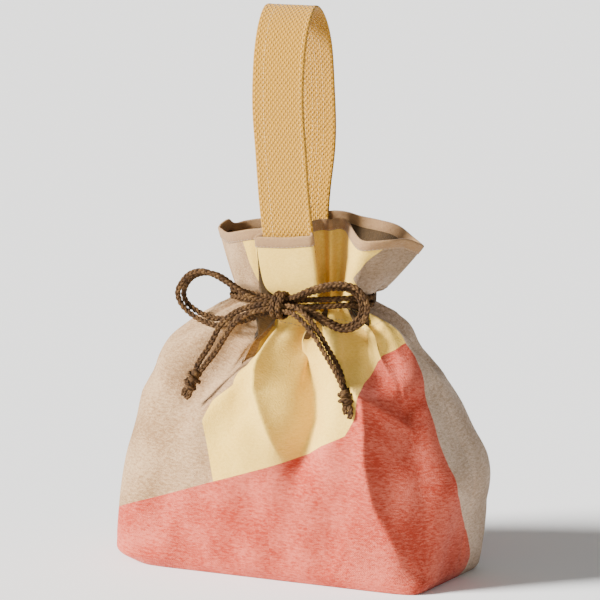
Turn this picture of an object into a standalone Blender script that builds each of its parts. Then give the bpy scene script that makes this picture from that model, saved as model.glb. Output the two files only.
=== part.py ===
"""Kinchaku drawstring pouch: gathered cloth body and lining, bound mouth, webbing handle,
and two doubled drawcords tied in a bow. Metres, +Z up, front towards -Y, origin under the base."""

import math

import bpy
import numpy as np

# ---------------------------------------------------------------- driving dimensions
BASE_WIDTH = 0.215          # across the front, corner to corner
BASE_DEPTH = 0.104
BELLY_WIDTH = 0.260         # widest place of the filled body
BELLY_DEPTH = 0.124
NECK_HEIGHT = 0.190         # level of the drawn cords
NECK_WIDTH = 0.102
NECK_DEPTH = 0.052
MOUTH_HEIGHT = 0.242        # top of the gathered frill
MOUTH_WIDTH = 0.152
MOUTH_DEPTH = 0.056

CLOTH_THICKNESS = 0.0012
LINING_THICKNESS = 0.0010
LAYER_GAP = 0.0006          # air between cloth and lining
BINDING_GAP = 0.0012        # air between the binding and the layers that it wraps
BINDING_HEIGHT = 0.007
BINDING_THICKNESS = 0.0009

GATHERS = 8                 # folds round the drawn neck and the frill
RING_POINTS = 56            # points round each level, a whole number for each gather

WEBBING_WIDTH = 0.038
WEBBING_THICKNESS = 0.0022

CORD_DIAMETER = 0.0037
CORD_STEP = 2.0 * CORD_DIAMETER
JOIN_GAP = 0.0020           # between a cord's flat end and the rounded knot that it meets

# levels of the cloth wall: height, half width, half depth, squareness, centre x, centre y,
# height of the gathers
LEVELS = [
    (0.0000, BASE_WIDTH / 2, BASE_DEPTH / 2, 9.0, 0.0000, 0.000, 0.0000),
    (0.0060, 0.1210, 0.0545, 6.6, 0.0000, 0.000, 0.0000),
    (0.0180, 0.1275, 0.0570, 5.2, 0.0000, 0.000, 0.0000),
    (0.0450, BELLY_WIDTH / 2, 0.0602, 4.0, 0.0000, 0.000, 0.0000),
    (0.0750, 0.1288, BELLY_DEPTH / 2, 3.4, -0.0010, -0.001, 0.0004),
    (0.1000, 0.1216, 0.0602, 3.0, -0.0028, -0.002, 0.0010),
    (0.1250, 0.1125, 0.0565, 2.7, -0.0050, -0.003, 0.0018),
    (0.1450, 0.1030, 0.0508, 2.5, -0.0058, -0.004, 0.0024),
    (0.1620, 0.0890, 0.0425, 2.3, -0.0048, -0.005, 0.0028),
    (0.1755, 0.0690, 0.0345, 2.1, -0.0010, -0.0065, 0.0030),
    (NECK_HEIGHT, NECK_WIDTH / 2, NECK_DEPTH / 2, 2.0, 0.0000, -0.008, 0.0030),
    (0.2050, 0.0570, 0.0265, 2.0, 0.0020, -0.009, 0.0036),
    (0.2220, 0.0660, 0.0272, 2.0, 0.0050, -0.011, 0.0046),
    (MOUTH_HEIGHT, MOUTH_WIDTH / 2, MOUTH_DEPTH / 2, 2.0, 0.0080, -0.012, 0.0058),
]

# middle line of the handle, from its sewn front end over the top to its sewn back end
HANDLE_ROUTE = [
    (0.0000, -0.0262, 0.2060), (0.0000, -0.0292, 0.2240), (0.0000, -0.0312, 0.2420),
    (0.0000, -0.0362, 0.2640), (0.0000, -0.0405, 0.2880), (-0.0005, -0.0430, 0.3150),
    (-0.0010, -0.0428, 0.3380), (-0.0018, -0.0395, 0.3610), (-0.0026, -0.0310, 0.3800),
    (-0.0036, -0.0180, 0.3910), (-0.0044, -0.0050, 0.3845), (-0.0052, 0.0060, 0.3660),
    (-0.0060, 0.0130, 0.3400), (-0.0066, 0.0160, 0.3120), (-0.0072, 0.0155, 0.2880),
    (-0.0076, 0.0115, 0.2660), (-0.0080, 0.0070, 0.2480), (-0.0080, 0.0052, 0.2320),
    (-0.0080, 0.0055, 0.2080),
]

# The right cord leaves the casing on the right, runs through the bow knot, forms the left loop,
# comes back through the knot and hangs down on the right. Its two halves lie side by side.
RIGHT_CORD_FRONT = [
    (0.0615, -0.0130, 0.1955), (0.0580, -0.0240, 0.1970), (0.0480, -0.0320, 0.1965),
    (0.0350, -0.0365, 0.1955), (0.0225, -0.0380, 0.1945), (0.0100, -0.0380, 0.1930),
    (0.0010, -0.0410, 0.1920), (-0.0075, -0.0455, 0.1925), (-0.0170, -0.0465, 0.1935),
    (-0.0260, -0.0470, 0.1970), (-0.0360, -0.0470, 0.2020), (-0.0470, -0.0465, 0.2070),
    (-0.0575, -0.0460, 0.2095), (-0.0675, -0.0450, 0.2070), (-0.0745, -0.0440, 0.2010),
    (-0.0790, -0.0430, 0.1930), (-0.0770, -0.0420, 0.1850), (-0.0705, -0.0410, 0.1785),
    (-0.0610, -0.0410, 0.1740), (-0.0495, -0.0420, 0.1720), (-0.0365, -0.0435, 0.1745),
    (-0.0230, -0.0450, 0.1785), (-0.0120, -0.0460, 0.1830), (0.0000, -0.0485, 0.1860),
    (0.0110, -0.0515, 0.1870), (0.0190, -0.0540, 0.1850), (0.0265, -0.0550, 0.1795),
    (0.0340, -0.0560, 0.1720), (0.0405, -0.0570, 0.1635), (0.0470, -0.0585, 0.1555),
    (0.0530, -0.0600, 0.1475), (0.0578, -0.0611, 0.1390),
]
RIGHT_CORD_BACK = [
    (0.0605, -0.0120, 0.1905), (0.0570, -0.0230, 0.1920), (0.0475, -0.0310, 0.1915),
    (0.0345, -0.0355, 0.1905), (0.0220, -0.0375, 0.1895), (0.0100, -0.0380, 0.1885),
    (0.0005, -0.0400, 0.1885), (-0.0100, -0.0410, 0.1900), (-0.0185, -0.0420, 0.1925),
    (-0.0270, -0.0425, 0.1960), (-0.0360, -0.0425, 0.2010), (-0.0470, -0.0420, 0.2065),
    (-0.0580, -0.0410, 0.2075), (-0.0670, -0.0400, 0.2050), (-0.0735, -0.0390, 0.1995),
    (-0.0770, -0.0380, 0.1920), (-0.0750, -0.0375, 0.1855), (-0.0685, -0.0370, 0.1805),
    (-0.0600, -0.0370, 0.1770), (-0.0495, -0.0380, 0.1760), (-0.0375, -0.0390, 0.1775),
    (-0.0250, -0.0405, 0.1815), (-0.0140, -0.0420, 0.1860), (-0.0005, -0.0460, 0.1890),
    (0.0115, -0.0500, 0.1910), (0.0215, -0.0520, 0.1885), (0.0285, -0.0525, 0.1825),
    (0.0355, -0.0525, 0.1740), (0.0415, -0.0525, 0.1650), (0.0475, -0.0530, 0.1565),
    (0.0530, -0.0545, 0.1480), (0.0573, -0.0570, 0.1382),
]

# The left cord mirrors it: out on the left, through the knot, right loop, left hanging end.
LEFT_CORD_FRONT = [
    (-0.0605, -0.0110, 0.1950), (-0.0530, -0.0240, 0.1955), (-0.0345, -0.0325, 0.1955),
    (-0.0200, -0.0370, 0.1945), (-0.0080, -0.0390, 0.1935), (0.0045, -0.0435, 0.1945),
    (0.0145, -0.0465, 0.1975), (0.0250, -0.0465, 0.2025), (0.0370, -0.0460, 0.2065),
    (0.0485, -0.0450, 0.2080), (0.0575, -0.0430, 0.2060), (0.0630, -0.0410, 0.2000),
    (0.0650, -0.0395, 0.1925), (0.0625, -0.0395, 0.1840), (0.0555, -0.0410, 0.1780),
    (0.0470, -0.0430, 0.1765), (0.0375, -0.0450, 0.1800), (0.0270, -0.0460, 0.1850),
    (0.0175, -0.0465, 0.1885), (0.0090, -0.0475, 0.1890), (-0.0005, -0.0485, 0.1880),
    (-0.0095, -0.0505, 0.1870), (-0.0190, -0.0515, 0.1840), (-0.0270, -0.0520, 0.1790),
    (-0.0335, -0.0525, 0.1720), (-0.0385, -0.0540, 0.1635), (-0.0435, -0.0560, 0.1550),
    (-0.0490, -0.0580, 0.1475), (-0.0530, -0.0593, 0.1418),
]
LEFT_CORD_BACK = [
    (-0.0600, -0.0110, 0.1905), (-0.0525, -0.0235, 0.1910), (-0.0340, -0.0320, 0.1910),
    (-0.0200, -0.0365, 0.1902), (-0.0080, -0.0385, 0.1890), (0.0025, -0.0410, 0.1910),
    (0.0125, -0.0420, 0.1950), (0.0230, -0.0422, 0.1998), (0.0340, -0.0415, 0.2030),
    (0.0450, -0.0405, 0.2045), (0.0530, -0.0385, 0.2025), (0.0575, -0.0365, 0.1975),
    (0.0585, -0.0350, 0.1910), (0.0565, -0.0350, 0.1840), (0.0510, -0.0365, 0.1790),
    (0.0440, -0.0385, 0.1780), (0.0360, -0.0410, 0.1815), (0.0265, -0.0420, 0.1860),
    (0.0170, -0.0425, 0.1895), (0.0075, -0.0435, 0.1905), (-0.0015, -0.0470, 0.1915),
    (-0.0095, -0.0500, 0.1910), (-0.0185, -0.0510, 0.1885), (-0.0275, -0.0515, 0.1850),
    (-0.0350, -0.0520, 0.1800), (-0.0415, -0.0520, 0.1735), (-0.0455, -0.0530, 0.1655),
    (-0.0490, -0.0550, 0.1580), (-0.0530, -0.0573, 0.1510), (-0.0568, -0.0588, 0.1434),
]

BOW_KNOT_CENTRE = (-0.0030, -0.0450, 0.1910)
BOW_KNOT_RADII = (0.0180, 0.0090, 0.0115)
STOP_KNOT_RADIUS = 0.0043
STOP_KNOTS = {"stop_knot_left": ((-0.0558, -0.0590, 0.1425), (-0.0618, -0.0610, 0.1277)),
              "stop_knot_right": ((0.0576, -0.0590, 0.1380), (0.0613, -0.0610, 0.1278))}

# colour, roughness
FINISHES = {
    "coral_cotton": ((0.80, 0.29, 0.20), 0.85),
    "lining_cotton": ((0.45, 0.32, 0.20), 0.90),
    "mauve_binding": ((0.58, 0.45, 0.38), 0.85),
    "tan_webbing": ((0.72, 0.46, 0.18), 0.80),
    "brown_cord": ((0.14, 0.07, 0.04), 0.60),
}


# ---------------------------------------------------------------- helpers
def material(name):
    """One Principled material for each finish, made once."""
    if name in bpy.data.materials:
        return bpy.data.materials[name]
    colour, roughness = FINISHES[name]
    made = bpy.data.materials.new(name)
    made.use_nodes = True
    shader = made.node_tree.nodes["Principled BSDF"]
    shader.inputs["Base Color"].default_value = (*colour, 1.0)
    shader.inputs["Roughness"].default_value = roughness
    shader.inputs["Metallic"].default_value = 0.0
    return made


def add_object(name, data, finish):
    data.materials.append(material(finish))
    made = bpy.data.objects.new(name, data)
    bpy.context.scene.collection.objects.link(made)
    return made


def loft(name, rings, finish, closed=False):
    """Join rings of equal length with triangles, each four corners split along their shorter
    diagonal, so that layers lying one inside another bend alike. An open loft gets a flat cap at
    each end, and a closed one joins its last ring to its first."""
    count = len(rings[0])
    points = np.vstack(rings)
    here = np.arange(len(rings) if closed else len(rings) - 1)[:, None] * count
    above = (here + count) % len(points)
    k = np.arange(count)[None, :]
    after = (k + 1) % count
    corners = np.stack([here + k, here + after, above + after, above + k], axis=-1).reshape(-1, 4)
    a, b, c, d = corners.T
    first_shorter = (np.linalg.norm(points[a] - points[c], axis=1)
                     < np.linalg.norm(points[b] - points[d], axis=1) - 1e-7)
    triangles = np.where(first_shorter[:, None, None],
                         np.stack([np.stack([a, b, c], 1), np.stack([a, c, d], 1)], 1),
                         np.stack([np.stack([a, b, d], 1), np.stack([b, c, d], 1)], 1))
    faces = triangles.reshape(-1, 3).tolist()
    if not closed:
        last = (len(rings) - 1) * count
        faces.append(list(reversed(range(count))))
        faces.append(list(range(last, last + count)))
    mesh = bpy.data.meshes.new(name)
    mesh.from_pydata(points.tolist(), [], faces)
    mesh.shade_smooth()
    mesh.set_sharp_from_angle(angle=math.radians(40))
    return add_object(name, mesh, finish)


def smooth_curve(route, samples=12):
    """Catmull-Rom curve through the route's points."""
    points = np.array(route)
    padded = np.vstack([2 * points[0] - points[1], points, 2 * points[-1] - points[-2]])
    t = np.linspace(0.0, 1.0, samples, endpoint=False)[:, None]
    stretches = []
    for k in range(len(points) - 1):
        p0, p1, p2, p3 = padded[k:k + 4]
        stretches.append(0.5 * (2 * p1 + (p2 - p0) * t + (2 * p0 - 5 * p1 + 4 * p2 - p3) * t ** 2
                                + (3 * p1 - p0 - 3 * p2 + p3) * t ** 3))
    return np.vstack(stretches + [points[-1:]])


def even_points(curve, step):
    """The curve read again at an even step along its length."""
    lengths = np.concatenate([[0.0], np.cumsum(np.linalg.norm(np.diff(curve, axis=0), axis=1))])
    count = max(2, round(lengths[-1] / step)) + 1
    wanted = np.linspace(0.0, lengths[-1], count)
    return np.column_stack([np.interp(wanted, lengths, curve[:, axis]) for axis in range(3)])


# ---------------------------------------------------------------- cloth
def smoothstep(low, high, value):
    t = np.clip((value - low) / (high - low), 0.0, 1.0)
    return t * t * (3.0 - 2.0 * t)


def cloth_ring(level, inset=0.0, lift=0.0):
    """Rounded oblong |x/a|^n + |y/b|^n = 1, read at equal shares of its length from the front
    middle, with the gathers added outwards at both sides, clear of the handle's two ends. The
    inset then moves each side of that outline inwards by the same amount."""
    height, a, b, squareness, centre_x, centre_y, gather = level
    angle = np.linspace(-0.5 * math.pi, 1.5 * math.pi, 1441)
    power = 2.0 / squareness
    x = a * np.sign(np.cos(angle)) * np.abs(np.cos(angle)) ** power
    y = b * np.sign(np.sin(angle)) * np.abs(np.sin(angle)) ** power
    lengths = np.concatenate([[0.0], np.cumsum(np.hypot(np.diff(x), np.diff(y)))])
    share = np.arange(RING_POINTS) / RING_POINTS
    outline = np.column_stack([np.interp(share * lengths[-1], lengths, x),
                               np.interp(share * lengths[-1], lengths, y)])
    from_handle = np.minimum(np.abs(share - 0.5), np.minimum(share, 1.0 - share))
    wave = gather * np.cos(2.0 * math.pi * GATHERS * share) * smoothstep(0.08, 0.16, from_handle)
    outline *= 1.0 + (wave / np.hypot(*outline.T))[:, None]

    side = np.roll(outline, -1, axis=0) - outline
    outward = np.column_stack([side[:, 1], -side[:, 0]]) / np.hypot(*side.T)[:, None]
    before = np.roll(outward, 1, axis=0)
    corner = (outward + before) / (1.0 + (outward * before).sum(axis=1))[:, None]
    outline = outline - inset * corner + (centre_x, centre_y)
    return np.column_stack([outline, np.full(RING_POINTS, height + lift)])


def cloth_layer(name, outer_inset, thickness, finish, top_drop):
    """A cup of cloth: up its outer side, over the edge and down its inner side."""
    inner_inset = outer_inset + thickness
    outer = [cloth_ring(level, outer_inset) for level in LEVELS]
    inner = [cloth_ring(level, inner_inset) for level in LEVELS]
    outer[0][:, 2] += outer_inset
    inner[0][:, 2] += inner_inset
    for ring in (outer[-1], inner[-1]):
        ring[:, 2] -= top_drop
    return loft(name, outer + inner[::-1], finish)


def rim_binding(name, inner_inset):
    """A folded strip over the mouth's edge, with a U section that closes on itself."""
    mouth = LEVELS[-1]
    below = LEVELS[-2]
    share = BINDING_HEIGHT / (mouth[0] - below[0])
    foot = tuple(m + share * (b - m) for m, b in zip(mouth, below))
    outside = -BINDING_GAP
    inside = inner_inset + BINDING_GAP
    section = [(foot, outside - BINDING_THICKNESS, 0.0), (mouth, outside - BINDING_THICKNESS, 0.0),
               (mouth, inside + BINDING_THICKNESS, 0.0), (foot, inside + BINDING_THICKNESS, 0.0),
               (foot, inside, 0.0), (mouth, inside, -BINDING_THICKNESS),
               (mouth, outside, -BINDING_THICKNESS), (foot, outside, 0.0)]
    rings = [cloth_ring(level, inset, lift) for level, inset, lift in section]
    return loft(name, rings, "mauve_binding", closed=True)


# ---------------------------------------------------------------- handle
def handle_webbing(name):
    """A flat strap carried along its route, always as wide as the X axis says."""
    path = even_points(smooth_curve(HANDLE_ROUTE), 0.011)
    forward = np.gradient(path, axis=0)
    forward /= np.linalg.norm(forward, axis=1)[:, None]
    across = np.array([1.0, 0.0, 0.0])
    outward = np.cross(forward, across)
    outward /= np.linalg.norm(outward, axis=1)[:, None]
    half_width = 0.5 * WEBBING_WIDTH * across
    half_thickness = 0.5 * WEBBING_THICKNESS
    rings = [[p - half_width - half_thickness * n, p + half_width - half_thickness * n,
              p + half_width + half_thickness * n, p - half_width + half_thickness * n]
             for p, n in zip(path, outward)]
    return loft(name, rings, "tan_webbing")


# ---------------------------------------------------------------- cords and knots
def turned(name, start, end, radii, finish, sides=12):
    """A solid of revolution along start to end: radii are (share of the length, radius)."""
    start = np.array(start)
    axis = np.array(end) - start
    along = axis / np.linalg.norm(axis)
    side = np.cross(along, (0.0, 1.0, 0.0))
    side /= np.linalg.norm(side)
    up = np.cross(along, side)
    angle = 2.0 * math.pi * np.arange(sides)[:, None] / sides
    rings = [start + share * axis + radius * (np.cos(angle) * side + np.sin(angle) * up)
             for share, radius in radii]
    return loft(name, rings, finish)


def bow_knot(name):
    """A rounded lump where both cords wrap round each other, turned along X and then flattened."""
    centre = np.array(BOW_KNOT_CENTRE)
    rx, ry, rz = BOW_KNOT_RADII
    angle = 2.0 * math.pi * np.arange(16)[:, None] / 16
    rings = []
    for t in np.linspace(-0.96, 0.96, 9):
        swell = math.sqrt(1.0 - t * t)
        rings.append(centre + np.hstack([np.full((16, 1), rx * t), -ry * swell * np.cos(angle),
                                         -rz * swell * np.sin(angle)]))
    return loft(name, rings, "brown_cord")


def stop_knot(name, start, end):
    r = STOP_KNOT_RADIUS
    radii = [(0.0, 0.80 * r), (0.12, 0.97 * r), (0.35, r), (0.65, r), (0.88, 0.95 * r), (1.0, 0.75 * r)]
    return turned(name, start, end, radii, "brown_cord")


def cord_tube(name, points):
    data = bpy.data.curves.new(name, "CURVE")
    data.dimensions = "3D"
    data.bevel_depth = CORD_DIAMETER / 2
    data.bevel_resolution = 2
    data.use_fill_caps = True
    spline = data.splines.new("POLY")
    spline.points.add(len(points) - 1)
    for target, point in zip(spline.points, points):
        target.co = (*point, 1.0)
    return add_object(name, data, "brown_cord")


def cord_stretches(name, route):
    """The cord's three stretches outside the bow knot: at the casing, the loop, the hanging end."""
    curve = smooth_curve(route, 40)
    reach = np.array(BOW_KNOT_RADII) + JOIN_GAP
    outside = (((curve - np.array(BOW_KNOT_CENTRE)) / reach) ** 2).sum(axis=1) > 1.0
    changes = np.flatnonzero(np.diff(outside.astype(int))) + 1
    stretches = [piece for piece, clear in zip(np.split(curve, changes), np.split(outside, changes))
                 if clear[0]]
    for part, piece in zip(("standing", "loop", "tail"), stretches):
        cord_tube(f"{name}_{part}", even_points(piece, CORD_STEP))


def main():
    for old in list(bpy.data.objects):
        bpy.data.objects.remove(old, do_unlink=True)

    lining_inset = CLOTH_THICKNESS + LAYER_GAP
    edge_drop = BINDING_THICKNESS + BINDING_GAP
    cloth_layer("outer_cloth", 0.0, CLOTH_THICKNESS, "coral_cotton", edge_drop)
    cloth_layer("lining", lining_inset, LINING_THICKNESS, "lining_cotton", edge_drop)
    rim_binding("rim_binding", lining_inset + LINING_THICKNESS)
    handle_webbing("handle_webbing")

    bow_knot("bow_knot")
    for name, (start, end) in STOP_KNOTS.items():
        stop_knot(name, start, end)
    cord_stretches("right_cord_front", RIGHT_CORD_FRONT)
    cord_stretches("right_cord_back", RIGHT_CORD_BACK)
    cord_stretches("left_cord_front", LEFT_CORD_FRONT)
    cord_stretches("left_cord_back", LEFT_CORD_BACK)


main()
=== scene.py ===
import math

import bpy
import numpy as np
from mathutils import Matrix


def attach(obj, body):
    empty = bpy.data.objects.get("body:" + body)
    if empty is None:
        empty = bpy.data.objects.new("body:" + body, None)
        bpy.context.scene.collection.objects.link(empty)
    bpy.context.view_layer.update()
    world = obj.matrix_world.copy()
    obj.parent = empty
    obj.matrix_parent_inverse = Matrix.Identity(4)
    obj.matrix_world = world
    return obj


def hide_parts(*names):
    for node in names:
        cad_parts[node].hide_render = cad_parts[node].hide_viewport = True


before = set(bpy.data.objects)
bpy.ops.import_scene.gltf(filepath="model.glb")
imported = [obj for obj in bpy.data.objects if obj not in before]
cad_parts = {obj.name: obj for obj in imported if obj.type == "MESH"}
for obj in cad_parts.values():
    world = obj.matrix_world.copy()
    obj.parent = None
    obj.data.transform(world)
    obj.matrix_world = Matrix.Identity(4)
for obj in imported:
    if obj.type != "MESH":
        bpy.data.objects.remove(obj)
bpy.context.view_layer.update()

# Camera: a long lens a little above the pouch and round to its right
camera = {
    "azimuth": 27.3,          # degrees round from the front towards the right
    "elevation": 9.41,
    "distance": 2.8966,
    "aim": (-0.0065, 0.0, 0.1865),
    "lens": 252.0,            # millimetres on a 36 mm sensor
}


def addObject(name, data):
    made = bpy.data.objects.new(name, data)
    bpy.context.scene.collection.objects.link(made)
    return made


def placeCamera():
    turn = math.radians(camera["azimuth"])
    rise = math.radians(camera["elevation"])
    back = np.array([math.sin(turn) * math.cos(rise), -math.cos(turn) * math.cos(rise), math.sin(rise)])
    data = bpy.data.cameras.new("camera")
    data.lens = camera["lens"]
    data.sensor_width = 36.0
    made = addObject("camera", data)
    made.location = np.array(camera["aim"]) + camera["distance"] * back
    made.rotation_euler = (math.radians(90.0) - rise, 0.0, turn)
    bpy.context.scene.camera = made


placeCamera()
print("camera placed")


# Small tools that every piece uses
# An sRGB colour such as #A08060 as the linear values that a shader takes.
def toLinear(code):
    parts = np.array([int(code[i:i + 2], 16) for i in (1, 3, 5)]) / 255.0
    return (*np.where(parts <= 0.04045, parts / 12.92, ((parts + 0.055) / 1.055) ** 2.4), 1.0)


# A shader node with its settings; an input is a value or the socket that feeds it.
def addNode(tree, kind, inputs=None, **settings):
    made = tree.nodes.new("ShaderNode" + kind)
    for name, value in settings.items():
        setattr(made, name, value)
    for name, value in (inputs or {}).items():
        if isinstance(value, bpy.types.NodeSocket):
            tree.links.new(value, made.inputs[name])
        else:
            made.inputs[name].default_value = value
    return made


# A material, its node tree and its one surface shader.
def newMaterial(name, roughness, sheen=0.0):
    made = bpy.data.materials.new(name)
    made.use_nodes = True
    shader = made.node_tree.nodes["Principled BSDF"]
    shader.inputs["Roughness"].default_value = roughness
    shader.inputs["Sheen Weight"].default_value = sheen
    shader.inputs["Sheen Roughness"].default_value = 0.45
    shader.inputs["Specular IOR Level"].default_value = 0.25
    return made, made.node_tree, shader


# A material of one even colour.
def plainMaterial(name, colour, roughness, sheen=0.0):
    made, _, shader = newMaterial(name, roughness, sheen)
    shader.inputs["Base Color"].default_value = toLinear(colour)
    return made


# 3 t^2 - 2 t^3, from 0 at low to 1 at high.
def smoothStep(low, high, value):
    t = np.clip((value - low) / (high - low), 0.0, 1.0)
    return t * t * (3.0 - 2.0 * t)


def unit(vectors):
    return vectors / np.maximum(np.linalg.norm(vectors, axis=-1, keepdims=True), 1e-12)


# Grids of points gathered into one mesh. A grid's rows run along and its columns across; outward is
# columns' direction crossed with rows' direction.
class Shape:
    def __init__(self):
        self.points, self.faces, self.uvs, self.count = [], [], [], 0

    def add(self, grid, uv, closed=True):
        rows, columns = grid.shape[:2]
        number = np.arange(rows * columns).reshape(rows, columns)
        if closed:
            number = np.concatenate([number, number[:, :1]], axis=1)
        corners = np.arange(number.size).reshape(number.shape)
        corner = [(slice(0, -1), slice(0, -1)), (slice(0, -1), slice(1, None)),
                  (slice(1, None), slice(1, None)), (slice(1, None), slice(0, -1))]
        self.faces.append(np.stack([number[c] for c in corner], axis=-1).reshape(-1, 4) + self.count)
        place = np.stack([corners[c] for c in corner], axis=-1).reshape(-1, 4)
        self.uvs.append(uv.reshape(-1, 2)[place].reshape(-1, 2))
        self.points.append(grid.reshape(-1, 3))
        self.count += rows * columns

    def finish(self, name, material, nodes=()):
        mesh = bpy.data.meshes.new(name)
        mesh.from_pydata(np.concatenate(self.points).tolist(), [], np.concatenate(self.faces).tolist())
        layer = mesh.uv_layers.new(name="UVMap")
        layer.data.foreach_set("uv", np.concatenate(self.uvs).astype(np.float32).ravel())
        mesh.shade_smooth()
        mesh.materials.append(material)
        made = addObject(name, mesh)
        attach(made, "root")
        if nodes:
            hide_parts(*nodes)
        return made


# Catmull-Rom curve between p1 and p2, at share f of the way.
def catmullRom(p0, p1, p2, p3, f):
    return 0.5 * (2 * p1 + (p2 - p0) * f + (2 * p0 - 5 * p1 + 4 * p2 - p3) * f**2
                  + (3 * p1 - p0 - 3 * p2 + p3) * f**3)


# The curve through all the points, with even steps along it.
def smoothLine(points, step):
    p = np.array(points, dtype=float)
    p = np.concatenate([[2 * p[0] - p[1]], p, [2 * p[-1] - p[-2]]])
    f = np.linspace(0.0, 1.0, 40, endpoint=False)[None, :, None]
    dense = catmullRom(*(p[k:len(p) - 3 + k, None] for k in range(4)), f)
    dense = np.concatenate([dense.reshape(-1, 3), p[-2:-1]])
    return evenLine(dense, step)


# Length along a line to each of its points.
def lengthAlong(line):
    return np.concatenate([[0.0], np.cumsum(np.linalg.norm(np.diff(line, axis=0), axis=1))])


def valuesAt(values, along, marks):
    return np.stack([np.interp(marks, along, values[:, k]) for k in range(3)], axis=1)


# The same line with even steps.
def evenLine(line, step):
    along = lengthAlong(line)
    marks = np.linspace(0.0, along[-1], max(int(round(along[-1] / step)), 2) + 1)
    return valuesAt(line, along, marks)


# Outward direction carried along the path without twist, and the direction square to both.
def travellingFrame(path, outward):
    along = unit(np.gradient(path, axis=0))
    out = np.empty_like(path)
    last = np.array(outward, dtype=float)
    for k, direction in enumerate(along):
        last = last - direction * last.dot(direction)
        last = last / np.linalg.norm(last)
        out[k] = last
    return out, np.cross(along, out)


# Ring of points round every point of a path: out * cos + (along x out) * sin, with closed ends.
def tube(path, out, radius, sides, radiusOut=None):
    along = unit(np.gradient(path, axis=0))
    out = unit(out - along * np.sum(out * along, axis=1, keepdims=True))
    aside = np.cross(along, out)
    angle = np.arange(sides) * 2 * math.pi / sides
    count = len(path)
    ends = np.minimum(np.arange(count), np.arange(count)[::-1]) / 2.0
    closing = np.sqrt(np.clip(1.0 - (1.0 - np.clip(ends, 0.0, 1.0)) ** 2, 0.0, 1.0))[:, None, None]
    ring = (out[:, None] * np.cos(angle)[None, :, None] * (radiusOut or radius)
            + aside[:, None] * np.sin(angle)[None, :, None] * radius)
    uv = np.stack(np.meshgrid(np.linspace(0, 2 * math.pi * radius, sides + 1), lengthAlong(path)), axis=-1)
    return path[:, None] + ring * closing, uv


# Drawcords: four lengths of plaited cord that run whole from the casing, through the bow, to the knots
cord = {
    "diameter": 0.0037,
    "yarnRadius": 0.00100,
    "yarnThickness": 0.00092,
    "halfWidth": 0.00114,     # how far the yarns swing to either side of the cord's middle
    "halfThickness": 0.00060,
    "pitch": 0.0108,          # along the cord, for one yarn to cross over and come back
    "step": 0.0007,           # between two points of a modelled cord
    "knotTurns": 2.3,
    "knotCore": 0.0034,
    "dark": "#1A0E05",
    "middle": "#3E2914",
    "light": "#7A5A34",
}

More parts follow.
